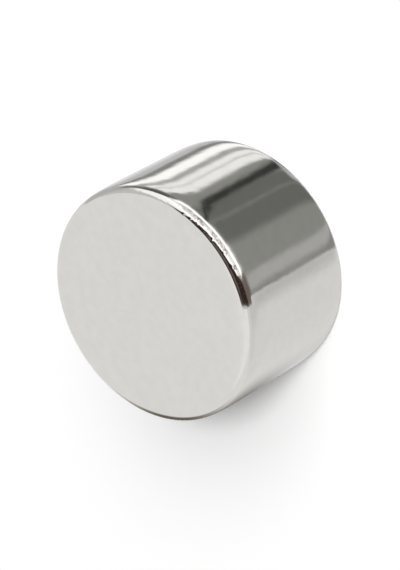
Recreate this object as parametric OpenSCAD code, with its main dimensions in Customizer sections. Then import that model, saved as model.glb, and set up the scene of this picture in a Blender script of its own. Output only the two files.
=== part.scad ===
// Disc magnet, a plain sintered disc with a plated skin, all one piece.
// Modelled standing on one flat face: the origin is the centre of that face and +Z is the axis.
// The straight wall rolls off towards each face in three arcs that run into one another:
// a gentle lead, a fuller shoulder, and the tight corner that meets the flat face.

/* [Disc] */
// Diameter over the straight wall
disc_diameter = 8; // [5:0.5:20]
// Thickness from one flat face to the other
disc_thickness = 5; // [3:0.5:12]

/* [Edges] */
// Radius of the tight corner beside each flat face
corner_radius = 0.24; // [0.1:0.02:0.5]
// Radius of the shoulder between the corner and the lead
shoulder_radius = 3.4; // [2:0.2:8]
// Height above the face at which the shoulder meets the lead
shoulder_height = 0.55; // [0.5:0.05:0.8]
// Radius of the lead between the shoulder and the straight wall
lead_radius = 14; // [9:0.5:25]
// Height above the face at which the straight wall begins
lead_height = 1.1; // [0.9:0.05:1.4]

/* [Hidden] */

// Segments in a full turn of each arc of the section, and in the turned disc
arc_segments = 720;
turn_segments = 240;

disc_radius = disc_diameter / 2;

// Point at a radius from a centre, where the section's outward normal tips down by a given sine
function arc_point(centre, radius, tip) = centre + radius * [sqrt(1 - tip * tip), -tip];

// The lead starts upright on the wall, and tips by lead_tip where the shoulder takes over
lead_centre = [disc_radius - lead_radius, lead_height];
lead_tip = (lead_height - shoulder_height) / lead_radius;
lead_end = arc_point(lead_centre, lead_radius, lead_tip);

// The shoulder shares that normal, and tips on until the corner fits between it and the face
shoulder_centre = arc_point(lead_end, -shoulder_radius, lead_tip);
shoulder_tip = (shoulder_centre[1] - corner_radius) / (shoulder_radius - corner_radius);
shoulder_end = arc_point(shoulder_centre, shoulder_radius, shoulder_tip);

// The corner shares the shoulder's last normal, and ends flat on the face
corner_centre = arc_point(shoulder_end, -corner_radius, shoulder_tip);

// Part of the half-section that lies inside one arc, between two heights
module arc_band(centre, radius, low, high) {
    intersection() {
        translate(centre)
            circle(r = radius, $fn = arc_segments);
        translate([0, low])
            square([disc_diameter, high - low]);
    }
}

// Half-section of one rounded end, from the flat face up to the straight wall
module end_section() {
    arc_band(lead_centre, lead_radius, lead_end[1], lead_height);
    arc_band(shoulder_centre, shoulder_radius, shoulder_end[1], lead_end[1]);
    arc_band(corner_centre, corner_radius, 0, shoulder_end[1]);
    square([corner_centre[0], shoulder_end[1]]);
}

// Half-section of the whole disc: two like ends and the straight wall between them
module disc_section() {
    end_section();
    translate([0, lead_height])
        square([disc_radius, disc_thickness - 2 * lead_height]);
    translate([0, disc_thickness])
        mirror([0, 1])
            end_section();
}

module magnet() {
    color("silver")
        rotate_extrude($fn = turn_segments)
            disc_section();
}

magnet();
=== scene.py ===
"""Looks of a nickel-plated disc magnet: its surface, the studio it reflects, the floor and the camera."""
import math

import bmesh
import bpy
import numpy as np
from mathutils import Matrix, Vector, noise


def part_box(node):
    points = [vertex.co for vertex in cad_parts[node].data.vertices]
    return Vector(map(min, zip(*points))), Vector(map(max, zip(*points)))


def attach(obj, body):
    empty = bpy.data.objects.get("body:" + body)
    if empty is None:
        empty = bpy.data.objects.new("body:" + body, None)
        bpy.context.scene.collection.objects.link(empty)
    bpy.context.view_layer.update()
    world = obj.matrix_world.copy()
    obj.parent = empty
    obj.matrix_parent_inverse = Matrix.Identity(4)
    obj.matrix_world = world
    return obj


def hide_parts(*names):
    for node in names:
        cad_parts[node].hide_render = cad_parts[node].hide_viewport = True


MM = 0.001

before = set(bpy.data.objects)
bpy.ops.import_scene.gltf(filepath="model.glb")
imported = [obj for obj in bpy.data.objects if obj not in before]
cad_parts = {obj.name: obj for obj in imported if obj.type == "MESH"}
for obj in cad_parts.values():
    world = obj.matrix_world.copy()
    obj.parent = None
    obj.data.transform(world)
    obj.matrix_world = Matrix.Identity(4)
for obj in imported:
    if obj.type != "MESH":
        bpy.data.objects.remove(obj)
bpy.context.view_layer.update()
low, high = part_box("magnet")

# Sizes of the disc, from the frame, in millimetres
disc_radius = min(high.x, -low.x, high.y, -low.y) / MM
disc_thickness = (high.z - low.z) / MM

# Rounded edge of the disc in millimetres, as in the part's source
corner_radius = 0.24
shoulder_radius = 3.4
shoulder_height = 0.55
lead_radius = 14
lead_height = 1.1

# The photograph shows the disc lying on its wall. In this frame it stands on a flat face, so the
# table's upward direction lies across the disc, and the camera is turned about its own line of sight.
table_up_angle = math.radians(-38.3)
table_up = Vector((math.cos(table_up_angle), math.sin(table_up_angle), 0))
table_right = Vector((math.sin(table_up_angle), -math.cos(table_up_angle), 0))


def new_object(name, data):
    """Object in the scene that holds a mesh, a camera or a lamp."""
    made = bpy.data.objects.new(name, data)
    bpy.context.scene.collection.objects.link(made)
    return made


def make_camera():
    """Camera at the photograph's angle, turned so that the disc lies as it does there."""
    elevation = math.radians(45.87)
    turn = math.radians(-119.6)
    lens = 189.5
    # In millimetres: from the upper face's centre to the camera, and from the line of sight to that centre
    distance = 94.6
    face_centre_across = -1.567
    face_centre_up = -0.681
    back = Vector((0, -math.cos(elevation), math.sin(elevation)))
    level_right = Vector((1, 0, 0))
    level_up = back.cross(level_right)
    right = math.cos(turn) * level_right + math.sin(turn) * level_up
    up = back.cross(right)
    face_centre = Vector((0, 0, disc_thickness))
    place = face_centre - face_centre_across * right - face_centre_up * up + distance * back
    camera = new_object("camera", bpy.data.cameras.new("camera"))
    camera.matrix_world = Matrix.Translation(place * MM) @ Matrix((right, up, back)).transposed().to_4x4()
    camera.data.lens = lens
    camera.data.clip_start = 0.001
    camera.data.clip_end = 2
    bpy.context.scene.camera = camera


def arc_point(centre, radius, tip):
    """Point on an arc of the section, where its outward normal tips towards the face by that sine."""
    return np.array(centre) + radius * np.array([math.sqrt(1 - tip * tip), -tip])


def arc_rows(centre, radius, first_tip, last_tip, count):
    """Rows of the section along an arc, without the last one."""
    angles = np.linspace(math.asin(first_tip), math.asin(last_tip), count, endpoint=False)
    return [arc_point(centre, radius, math.sin(a)) for a in angles]


def smooth_step(value, start, end):
    """0 before the start, 1 after the end, and a smooth rise between them."""
    share = min(max((value - start) / (end - start), 0), 1)
    return share * share * (3 - 2 * share)


def end_rows():
    """Section of one rounded end as (radius, height), from the centre of the face to the straight wall."""
    corner_steps, shoulder_steps, lead_steps = 22, 8, 8
    face_shares = (0, 0.2, 0.4, 0.6, 0.8, 0.9, 0.925, 0.95, 0.97, 0.985)
    lead_centre = np.array([disc_radius - lead_radius, lead_height])
    lead_tip = (lead_height - shoulder_height) / lead_radius
    lead_end = arc_point(lead_centre, lead_radius, lead_tip)
    shoulder_centre = arc_point(lead_end, -shoulder_radius, lead_tip)
    shoulder_tip = (shoulder_centre[1] - corner_radius) / (shoulder_radius - corner_radius)
    shoulder_end = arc_point(shoulder_centre, shoulder_radius, shoulder_tip)
    corner_centre = arc_point(shoulder_end, -corner_radius, shoulder_tip)
    rows = [np.array([share * corner_centre[0], 0.0]) for share in face_shares]
    rows += arc_rows(corner_centre, corner_radius, 1, shoulder_tip, corner_steps)
    rows += arc_rows(shoulder_centre, shoulder_radius, shoulder_tip, lead_tip, shoulder_steps)
    rows += arc_rows(lead_centre, lead_radius, lead_tip, 0, lead_steps)
    # The face falls away by 13 microns towards the corner
    fall_depth = 0.013
    fall_start, fall_end = 3.25, 3.90
    for row in rows:
        if row[1] < corner_radius:
            share = min(max((row[0] - fall_start) / (fall_end - fall_start), 0), 1)
            row[1] += fall_depth * share ** 2
    return rows


def section_rows():
    """Section of the whole disc, from the centre of the lower face to the centre of the upper one."""
    wall_steps = 24
    ends = end_rows()
    wall_heights = np.linspace(lead_height, disc_thickness - lead_height, wall_steps)
    wall = [np.array([disc_radius, h]) for h in wall_heights]
    upper = [np.array([r, disc_thickness - h]) for r, h in reversed(ends)]
    return ends + wall + upper


def beads(point):
    """Depth in millimetres of the marks that tumbling left, at a point of the rounded corner."""
    pit_length, pit_depth = 0.13, 0.030
    dent_length, dent_depth = 0.39, 0.0030
    another_place = Vector((7, 3, 5))
    pit = max(noise.noise(point / pit_length), 0)
    dent = noise.noise(point / dent_length + another_place)
    return pit_depth * pit * pit + dent_depth * (1 + dent)


def waviness(point):
    """Depth in millimetres of the slight waves of the ground wall."""
    wave_length, ripple_length = 0.45, 0.17
    wave_depth, ripple_depth = 0.0008, 0.0008
    wave = noise.noise(point / wave_length)
    ripple = noise.noise(point / ripple_length)
    return wave_depth * (1 + wave) + ripple_depth * (1 + ripple)


def ring_points(rows, turns):
    """Points of a ring for each row but the first and the last, sunk in by the marks and the waves."""
    # The marks are deepest on the rim's upper right in the photograph's view, and opposite it
    marked_angle = table_up_angle - math.radians(33)
    marked_power = 8
    least_share = 0.08
    angles = [2 * math.pi * i / turns for i in range(turns)]
    points = []
    for row in range(1, len(rows) - 1):
        radius, height = rows[row]
        run = rows[row + 1] - rows[row - 1]
        outward = Vector((run[1], -run[0])).normalized()
        slope = abs(outward.y)
        rim = smooth_step(slope, 0.15, 0.40) * (1 - smooth_step(slope, 0.93, 1.0))
        wall = smooth_step(radius, 3.80, 3.95)
        for a in angles:
            spoke = Vector((math.cos(a), math.sin(a), 0))
            point = radius * spoke + Vector((0, 0, height))
            depth = 0
            if rim > 0:
                share = max(math.cos(a - marked_angle) ** marked_power, least_share)
                depth += rim * share * beads(point)
            if wall > 0:
                depth += wall * waviness(point)
            points.append((point - depth * (outward.x * spoke + Vector((0, 0, outward.y)))) * MM)
    return points


def make_disc():
    """Disc as a finely turned mesh, with the slight unevenness that tumbling leaves."""
    turns = 720
    rows = section_rows()
    ring_count = len(rows) - 2
    points = ring_points(rows, turns)
    faces = []
    for row in range(ring_count - 1):
        start, above = row * turns, (row + 1) * turns
        for i in range(turns):
            j = (i + 1) % turns
            faces.append((start + i, start + j, above + j, above + i))
    lower_centre, upper_centre = len(points), len(points) + 1
    points += [Vector((0, 0, 0)), Vector((0, 0, disc_thickness)) * MM]
    top_ring = (ring_count - 1) * turns
    for i in range(turns):
        j = (i + 1) % turns
        faces.append((lower_centre, j, i))
        faces.append((upper_centre, top_ring + i, top_ring + j))
    mesh = bpy.data.meshes.new("disc")
    mesh.from_pydata(points, [], faces)
    mesh.shade_smooth()
    return new_object("disc", mesh)


def new_nodes(owner):
    """Empty node tree of a material or a world."""
    owner.use_nodes = True
    owner.node_tree.nodes.clear()
    return owner.node_tree


def show(tree, shader, output_kind="ShaderNodeOutputMaterial"):
    """Makes a shader the surface of its material, or of the world."""
    output = tree.nodes.new(output_kind)
    tree.links.new(shader.outputs[0], output.inputs["Surface"])


def feed(tree, socket, value):
    """Links a socket into another, or sets its plain value."""
    if isinstance(value, bpy.types.NodeSocket):
        tree.links.new(value, socket)
    else:
        socket.default_value = value


def calc(tree, operation, *values):
    """Result of a maths node."""
    node = tree.nodes.new("ShaderNodeMath")
    node.operation = operation
    for socket, value in zip(node.inputs, values):
        feed(tree, socket, value)
    return node.outputs[0]


def line(tree, value, slope, start):
    """A value times a slope, added to a start."""
    return calc(tree, "ADD", calc(tree, "MULTIPLY", value, slope), start)


def along(tree, direction, axis):
    """How far a direction or a place lies along an axis."""
    node = tree.nodes.new("ShaderNodeVectorMath")
    node.operation = "DOT_PRODUCT"
    feed(tree, node.inputs[0], direction)
    node.inputs[1].default_value = axis
    return node.outputs["Value"]


def rise(tree, value, at, soft):
    """Smooth step from 0 to 1 where a value passes a place."""
    node = tree.nodes.new("ShaderNodeMapRange")
    node.interpolation_type = "SMOOTHSTEP"
    feed(tree, node.inputs["Value"], value)
    node.inputs["From Min"].default_value = at - soft / 2
    node.inputs["From Max"].default_value = at + soft / 2
    return node.outputs["Result"]


def fall(tree, value, at, soft):
    """Smooth step from 1 to 0 where a value passes a place."""
    return calc(tree, "SUBTRACT", 1, rise(tree, value, at, soft))


def between(tree, value, start, end, soft):
    """1 between two places, with smooth sides."""
    return calc(tree, "MULTIPLY", rise(tree, value, start, soft), fall(tree, value, end, soft))


def opaque(colour):
    """Colour with full alpha. A socket that gives a colour stays as it is."""
    return colour if isinstance(colour, bpy.types.NodeSocket) else (*colour, 1)


def paint(tree, under, colour, *masks):
    """One colour laid over another where every mask is 1. Both may be sockets that give a colour."""
    mask = masks[0]
    for other in masks[1:]:
        mask = calc(tree, "MULTIPLY", mask, other)
    node = tree.nodes.new("ShaderNodeMix")
    node.data_type = "RGBA"
    feed(tree, node.inputs["Factor"], mask)
    feed(tree, node.inputs["A"], opaque(under))
    feed(tree, node.inputs["B"], opaque(colour))
    return node.outputs["Result"]


def grey(level):
    """Neutral colour of one level."""
    return (level, level, level)


# The studio is painted by direction. right, up and front say how far a direction points that way, from
# -1 to 1. turn is its angle about the disc's axis, in degrees clockwise from the table's upward direction.


def paint_ceiling(tree, colour, up, front, turn):
    """Ceiling, less bright straight above and at the left, with a dark gap and a greyer band in front."""
    above_disc = rise(tree, turn, -12, 6)
    colour = paint(tree, colour, grey(1.15), rise(tree, up, 0.93, 0.06), rise(tree, front, 0, 0.1))
    colour = paint(tree, colour, grey(1.38), fall(tree, turn, -22, 10))
    colour = paint(
        tree, colour, (0.36, 0.30, 0.29), between(tree, front, -0.10, 0.01, 0.05), above_disc,
    )
    colour = paint(
        tree, colour, (1.09, 1.07, 1.08), between(tree, front, 0.15, 0.38, 0.08), above_disc,
    )
    # Dark ribs in front, unevenly spaced by a slow swing
    arc = calc(tree, "RADIANS", turn)
    swing = calc(tree, "MULTIPLY", calc(tree, "SINE", calc(tree, "MULTIPLY", arc, 11)), 2)
    ribs = calc(tree, "SINE", line(tree, arc, 34, swing))
    return paint(
        tree, colour, (0.30, 0.25, 0.24), rise(tree, ribs, 0.62, 0.50),
        between(tree, front, -0.04, 0.66, 0.14), rise(tree, turn, -6, 6),
    )


def paint_left_flank(tree, colour, front, turn):
    """Left flank, lighter in front, and the shade above the strips."""
    colour = paint(tree, colour, grey(0.74), fall(tree, turn, -50, 12))
    colour = paint(tree, colour, grey(0.62), fall(tree, turn, -54, 14), fall(tree, front, 0.35, 0.2))
    colour = paint(
        tree, colour, grey(0.24), between(tree, turn, -62, -18, 8), fall(tree, front, -0.06, 0.12),
    )
    return paint(
        tree, colour, grey(0.13),
        between(tree, turn, -45, -19, 12), between(tree, front, -0.58, 0.00, 0.16),
    )


def paint_back_wall(tree, colour, front, turn):
    """Back wall with its darker and lighter panels, seen in the straight wall of the disc."""
    back = fall(tree, front, -0.54, 0.10)
    colour = paint(tree, colour, (0.343, 0.350, 0.332), back)
    colour = paint(tree, colour, (0.184, 0.191, 0.179), back, between(tree, turn, -5, 38, 10))
    colour = paint(tree, colour, grey(0.25), back, between(tree, turn, 11.5, 15, 3))
    colour = paint(tree, colour, grey(0.54), back, between(tree, turn, 69, 82.5, 8))
    return paint(tree, colour, grey(0.33), back, between(tree, turn, 85.5, 96, 4))


def paint_strips(tree, colour, right, up, front, turn):
    """Strips of light at the back left, and the dark seam between them and the back wall."""
    # In the main view the disc's straight wall reflects what lies this far back. Its near rim reflects
    # what lies further forward. There the strips sweep to the left, and the seam gets thinner.
    straight_wall_back = 0.718
    sweep_end = 0.08
    forward = calc(tree, "ADD", front, straight_wall_back)
    sweep = calc(tree, "MINIMUM", calc(tree, "MAXIMUM", forward, 0), sweep_end)
    strip = line(tree, sweep, 98, turn)
    slanted_strip = line(tree, calc(tree, "MINIMUM", forward, 0), -65, strip)
    left = calc(tree, "MULTIPLY", fall(tree, front, -0.59, 0.05), fall(tree, slanted_strip, -21, 9))
    colour = paint(tree, colour, grey(1.22), left, fall(tree, strip, -24, 8))
    colour = paint(tree, colour, grey(0.76), left, between(tree, strip, -39, -36, 4))
    colour = paint(tree, colour, grey(0.50), left, between(tree, strip, -56.5, -47.5, 6))
    colour = paint(tree, colour, grey(1.40), left, fall(tree, strip, -58, 4))
    colour = paint(tree, colour, grey(0.28), left, fall(tree, strip, -73, 9))
    colour = paint(tree, colour, grey(0.54), left, fall(tree, strip, -84.5, 7))

    off_seam = calc(tree, "ABSOLUTE", calc(tree, "SUBTRACT", line(tree, right, -0.52, up), 0.735))
    half_seam = line(tree, sweep, -0.22, 0.036)
    seam_tone = paint(tree, grey(0.042), grey(0.012), rise(tree, front, -0.66, 0.06))
    colour = paint(
        tree, colour, seam_tone, fall(tree, calc(tree, "SUBTRACT", off_seam, half_seam), 0, 0.04),
        fall(tree, front, -0.50, 0.06), rise(tree, front, -0.71, 0.03), rise(tree, turn, -30, 10),
    )
    # Further back the seam leans more
    far_seam = line(tree, right, -2.475, up)
    return paint(
        tree, colour, grey(0.05), fall(tree, front, -0.69, 0.03),
        between(tree, far_seam, 0.785, 1.045, 0.16),
    )


def paint_room(tree, colour, right, up, front):
    """Dark room in front, beyond the table's edge, and a grey-brown round patch straight in front."""
    room = calc(tree, "MULTIPLY", rise(tree, front, -0.56, 0.06), rise(tree, right, -0.44, 0.06))
    level_top = line(tree, rise(tree, right, 0.35, 0.3), -0.13, 0.50)
    top = calc(tree, "MINIMUM", line(tree, right, 0.8, 0.50), level_top)
    room = calc(tree, "MULTIPLY", room, fall(tree, calc(tree, "SUBTRACT", up, top), 0, 0.05))
    colour = paint(tree, colour, (0.045, 0.028, 0.022), room)
    colour = paint(tree, colour, (0.20, 0.165, 0.15), room, fall(tree, front, 0.20, 0.3))
    return paint(tree, colour, (0.150, 0.132, 0.122), rise(tree, front, 0.975, 0.02))


def table_mask(tree, right, up, front):
    """1 on the table and 0 above its edge."""
    # The edge runs down to the left. In front it is sharper than behind, and a little lower.
    slanted = line(tree, right, 0.36, -0.245)
    drop = calc(tree, "MULTIPLY", line(tree, right, 0.073, 0.040), rise(tree, front, -0.50, 0.10))
    # It never falls below a certain height, and that is higher at the far left
    lowest = line(tree, fall(tree, right, -0.44, 0.06), 0.45, -0.42)
    edge = calc(tree, "MAXIMUM", calc(tree, "SUBTRACT", slanted, drop), lowest)
    blur = line(tree, fall(tree, front, -0.60, 0.10), 0.020, 0.030)
    return fall(tree, calc(tree, "DIVIDE", calc(tree, "SUBTRACT", up, edge), blur), 0, 1)


def paint_table(tree, colour, right, up, front):
    """White table, brighter in front, and less bright behind and at both sides."""
    table = table_mask(tree, right, up, front)
    behind = fall(tree, front, -0.3, 0.6)
    far_behind = fall(tree, front, -0.5, 0.4)
    far = calc(tree, "MULTIPLY", behind, rise(tree, up, -0.13, 0.20))
    colour = paint(tree, colour, grey(1.0), table)
    colour = paint(
        tree, colour, grey(1.11), table, rise(tree, front, 0.745, 0.03), rise(tree, right, -0.50, 0.03),
    )
    colour = paint(tree, colour, grey(0.88), table, rise(tree, right, 0.65, 0.3))
    colour = paint(tree, colour, grey(0.92), table, behind)
    colour = paint(tree, colour, grey(0.74), table, fall(tree, right, -0.10, 0.5), far_behind)
    colour = paint(tree, colour, grey(0.68), table, far, rise(tree, right, 0, 0.3))
    colour = paint(tree, colour, grey(0.62), table, far, fall(tree, right, 0, 0.3))
    # Shade on the table's right, below its edge
    colour = paint(
        tree, colour, grey(0.78), table, between(tree, front, -0.60, 0.25, 0.16),
        rise(tree, right, 0.62, 0.2), rise(tree, up, -0.30, 0.35),
    )
    # Light beyond the left side of the table
    return paint(
        tree, colour, grey(0.85), table, fall(tree, right, -0.58, 0.06), fall(tree, up, -0.15, 0.25),
        far_behind,
    )


def studio_colour(tree):
    """Colours of the studio by direction: a white table, a bright ceiling and a darker room."""
    place = tree.nodes.new("ShaderNodeTexCoord").outputs["Object"]
    normalise = tree.nodes.new("ShaderNodeVectorMath")
    normalise.operation = "NORMALIZE"
    tree.links.new(place, normalise.inputs[0])
    direction = normalise.outputs["Vector"]
    right = along(tree, direction, table_right)
    up = along(tree, direction, table_up)
    front = along(tree, direction, (0, 0, 1))
    turn = calc(tree, "DEGREES", calc(tree, "ARCTAN2", right, up))

    colour = grey(1.65)
    colour = paint_ceiling(tree, colour, up, front, turn)
    colour = paint_left_flank(tree, colour, front, turn)
    colour = paint_back_wall(tree, colour, front, turn)
    colour = paint_strips(tree, colour, right, up, front, turn)
    # Light that the disc's far rim reflects
    colour = paint(
        tree, colour, grey(0.62), fall(tree, front, -0.850, 0.03), between(tree, turn, -34, 7, 6),
    )
    colour = paint_room(tree, colour, right, up, front)
    return paint_table(tree, colour, right, up, front)


def make_studio():
    """Dome that the plating reflects. The camera doesn't see it, and it throws no light on the floor."""
    reach = 1.0
    mesh = bpy.data.meshes.new("studio")
    ball = bmesh.new()
    bmesh.ops.create_icosphere(ball, subdivisions=4, radius=reach)
    ball.to_mesh(mesh)
    ball.free()
    studio = new_object("studio", mesh)
    material = bpy.data.materials.new("studio")
    tree = new_nodes(material)
    glow = tree.nodes.new("ShaderNodeEmission")
    tree.links.new(studio_colour(tree), glow.inputs["Color"])
    show(tree, glow)
    material.cycles.emission_sampling = "NONE"
    mesh.materials.append(material)
    studio.visible_camera = False
    studio.visible_diffuse = False
    studio.visible_shadow = False


def make_table_shade():
    """Shade under the disc on the photograph's table: a sheet that only dims what the plating reflects."""
    gap = 0.03
    depth = -(disc_radius + gap)
    reach = 8
    near, far = 8, -3
    places = [(-reach, far), (reach, far), (reach, near), (-reach, near)]
    corners = [(x * table_right + depth * table_up + Vector((0, 0, z))) * MM for x, z in places]
    mesh = bpy.data.meshes.new("table_shade")
    mesh.from_pydata(corners, [], [(0, 1, 2, 3)])
    sheet = new_object("table_shade", mesh)
    material = bpy.data.materials.new("table_shade")
    tree = new_nodes(material)
    place = tree.nodes.new("ShaderNodeTexCoord").outputs["Object"]
    across = calc(tree, "DIVIDE", along(tree, place, table_right), MM)
    height = calc(tree, "DIVIDE", along(tree, place, (0, 0, 1)), MM)
    beside = calc(tree, "MULTIPLY", rise(tree, across, -1.2, 3.2), fall(tree, across, 2.5, 2.8))
    below = calc(tree, "MULTIPLY", rise(tree, height, 0.8, 3.2), fall(tree, height, 5.25, 0.3))
    clear = tree.nodes.new("ShaderNodeBsdfTransparent")
    tree.links.new(paint(tree, grey(1), (0.19, 0.155, 0.135), beside, below), clear.inputs["Color"])
    show(tree, clear)
    mesh.materials.append(material)
    sheet.visible_camera = False
    sheet.visible_diffuse = False
    sheet.visible_shadow = False


def make_world():
    """White world where the camera or a reflection sees it, and a soft fill light everywhere else."""
    fill_level = 0.175
    world = bpy.data.worlds.new("world")
    bpy.context.scene.world = world
    tree = new_nodes(world)
    path = tree.nodes.new("ShaderNodeLightPath")
    seen = calc(tree, "MAXIMUM", path.outputs["Is Camera Ray"], path.outputs["Is Glossy Ray"])
    seen = calc(tree, "MAXIMUM", seen, path.outputs["Is Transmission Ray"])
    white = tree.nodes.new("ShaderNodeBackground")
    white.inputs["Color"].default_value = opaque(grey(1))
    tree.links.new(line(tree, seen, 1 - fill_level, fill_level), white.inputs["Strength"])
    show(tree, white, "ShaderNodeOutputWorld")


def make_floor():
    """Plain white floor that takes the shadow. The plating doesn't reflect it, but the studio beyond it."""
    reach = 0.6
    own_light = 0.12
    mesh = bpy.data.meshes.new("floor")
    corners = [(-reach, -reach, 0), (reach, -reach, 0), (reach, reach, 0), (-reach, reach, 0)]
    mesh.from_pydata(corners, [], [(0, 1, 2, 3)])
    floor = new_object("floor", mesh)
    material = bpy.data.materials.new("floor")
    tree = new_nodes(material)
    matt = tree.nodes.new("ShaderNodeBsdfDiffuse")
    matt.inputs["Color"].default_value = opaque(grey(0.9))
    glow = tree.nodes.new("ShaderNodeEmission")
    glow.inputs["Color"].default_value = opaque(grey(1))
    mix = tree.nodes.new("ShaderNodeMixShader")
    mix.inputs["Fac"].default_value = own_light
    tree.links.new(matt.outputs[0], mix.inputs[1])
    tree.links.new(glow.outputs[0], mix.inputs[2])
    show(tree, mix)
    mesh.materials.append(material)
    floor.visible_glossy = False


def make_lamp(name, strength, width, height_angle, side_angle):
    """Soft distant lamp that throws a shadow, with its angles in degrees. It isn't seen in the plating."""
    lamp = bpy.data.lights.new(name, "SUN")
    lamp.energy = strength
    lamp.angle = math.radians(width)
    source = new_object(name, lamp)
    level, side = math.radians(height_angle), math.radians(side_angle)
    across = math.cos(side) * table_right + math.sin(side) * table_up
    towards = math.cos(level) * across + Vector((0, 0, math.sin(level)))
    source.rotation_mode = "QUATERNION"
    source.rotation_quaternion = towards.to_track_quat("Z", "Y")
    source.visible_glossy = False


def nickel_plate():
    """Bright nickel, polished by tumbling: nearly even, with faint clouds in its tint, polish and height."""
    material = bpy.data.materials.new("nickel_plate")
    tree = new_nodes(material)
    place = tree.nodes.new("ShaderNodeTexCoord").outputs["Object"]

    def clouds(size, detail):
        """Soft noise from 0 to 1, with clouds of a size in millimetres."""
        texture = tree.nodes.new("ShaderNodeTexNoise")
        tree.links.new(place, texture.inputs["Vector"])
        texture.inputs["Scale"].default_value = 1 / (size * MM)
        texture.inputs["Detail"].default_value = detail
        return texture.outputs["Fac"]

    shader = tree.nodes.new("ShaderNodeBsdfPrincipled")
    shader.inputs["Metallic"].default_value = 1
    tint = paint(tree, (0.685, 0.674, 0.643), (0.655, 0.645, 0.615), clouds(1.5, 3))
    tint = paint(tree, tint, (0.650, 0.640, 0.611), rise(tree, clouds(0.35, 4), 0.5, 0.4))
    tree.links.new(tint, shader.inputs["Base Color"])
    polish = tree.nodes.new("ShaderNodeMapRange")
    tree.links.new(clouds(0.8, 4), polish.inputs["Value"])
    polish.inputs["From Min"].default_value = 0.3
    polish.inputs["From Max"].default_value = 0.7
    polish.inputs["To Min"].default_value = 0.07
    polish.inputs["To Max"].default_value = 0.12
    tree.links.new(polish.outputs["Result"], shader.inputs["Roughness"])
    bump = tree.nodes.new("ShaderNodeBump")
    bump.inputs["Distance"].default_value = 0.0015 * MM
    tree.links.new(clouds(0.30, 3), bump.inputs["Height"])
    tree.links.new(bump.outputs["Normal"], shader.inputs["Normal"])
    show(tree, shader)
    return material


bpy.context.scene.view_settings.view_transform = "Standard"
make_camera()
make_world()
make_studio()
make_table_shade()
make_floor()
make_lamp("key", strength=2.33, width=14.4, height_angle=54.5, side_angle=49)
make_lamp("ceiling", strength=1.98, width=45, height_angle=36, side_angle=68)

disc = make_disc()
disc.data.materials.append(nickel_plate())
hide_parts("magnet")
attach(disc, "root")
